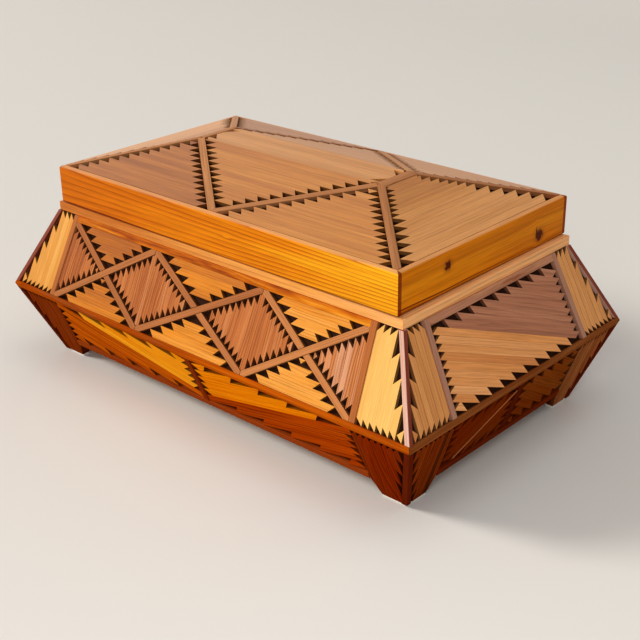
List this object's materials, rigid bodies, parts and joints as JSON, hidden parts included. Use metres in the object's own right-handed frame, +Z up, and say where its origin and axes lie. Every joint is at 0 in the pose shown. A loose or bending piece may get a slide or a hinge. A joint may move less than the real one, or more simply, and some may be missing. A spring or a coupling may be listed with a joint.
{
  "type": "wooden box",
  "caption": "Slatted wooden table box with flared walls, a belt, corner feet and a hinged lid with a low hipped roof.",
  "frame": {"origin": "on the floor under the middle of the box", "axes": "+X along the length of the box, +Y to the hinged back, +Z up"},
  "size_m": [0.3682, 0.2282, 0.1642],
  "materials": {
    "felt": "thin white felt",
    "plain_board": "planed, thin varnish",
    "stained_board": "dark stain, matt",
    "rim_wood": "satin varnish",
    "red_strip": "satin varnish",
    "pink_strip": "satin varnish",
    "dark_strip": "satin varnish",
    "brown_slat": "satin varnish",
    "yellow_slat": "satin varnish",
    "light_slat": "satin varnish",
    "tan_slat": "satin varnish",
    "mauve_slat": "satin varnish",
    "leg_slat": "satin varnish",
    "orange_slat": "satin varnish",
    "rust_slat": "satin varnish",
    "lid_board": "gloss varnish over straight grain",
    "roof_slat": "satin varnish",
    "brass": "polished, a little worn"
  },
  "bodies": {
    "box": {"foot_pads": "felt", "bottom_board": "plain_board", "lower_wall_front": "stained_board", "lower_wall_right": "stained_board", "lower_wall_back": "stained_board", "lower_wall_left": "stained_board", "upper_wall_front": "stained_board", "upper_wall_right": "stained_board", "upper_wall_back": "stained_board", "upper_wall_left": "stained_board", "rim_front": "rim_wood", "rim_right": "rim_wood", "rim_back": "rim_wood", "rim_left": "rim_wood", "belt_strips": "red_strip", "upper_corner_strips": "pink_strip", "lower_corner_strips": "dark_strip", "top_strips": "pink_strip", "post_strips": "pink_strip", "lattice_strips_front": "pink_strip", "lattice_strips_back": "pink_strip", "middle_strips": "dark_strip", "bottom_rails": "red_strip", "diamond_slats_front": "brown_slat", "diamond_slats_back": "brown_slat", "triangle_slats_front": "yellow_slat", "triangle_slats_back": "yellow_slat", "corner_slats_long": "light_slat", "corner_slats_end": "tan_slat", "end_field_upper_slats": "mauve_slat", "end_field_lower_slats": "tan_slat", "leg_slats": "leg_slat", "lower_long_bright_slats": "orange_slat", "lower_long_dark_slats": "rust_slat", "lower_end_bright_slats": "rust_slat", "lower_end_dark_slats": "leg_slat", "hinge_leaves_box": "brass", "hinge_pins": "brass", "hinge_screws_box": "brass"},
    "lid": {"lid_rim_front": "lid_board", "lid_rim_right": "lid_board", "lid_rim_back": "lid_board", "lid_rim_left": "lid_board", "roof_board_front": "stained_board", "roof_board_right": "stained_board", "roof_board_back": "stained_board", "roof_board_left": "stained_board", "roof_board_crown": "stained_board", "roof_slats_front": "roof_slat", "roof_slats_right": "roof_slat", "roof_slats_back": "roof_slat", "roof_slats_left": "roof_slat", "roof_slats_crown": "roof_slat", "hip_strips": "pink_strip", "crown_strips": "pink_strip", "roof_diagonal_strips": "pink_strip", "hinge_leaves_lid": "brass", "hinge_screws_lid": "brass"}
  },
  "joints": [
    {"name": "lid_hinge", "type": "hinge", "parent": "box", "child": "lid", "pos_m": [0, 0.08865, 0.119], "axis": [-1, 0, 0], "range_deg": [0, 165]}
  ]
}
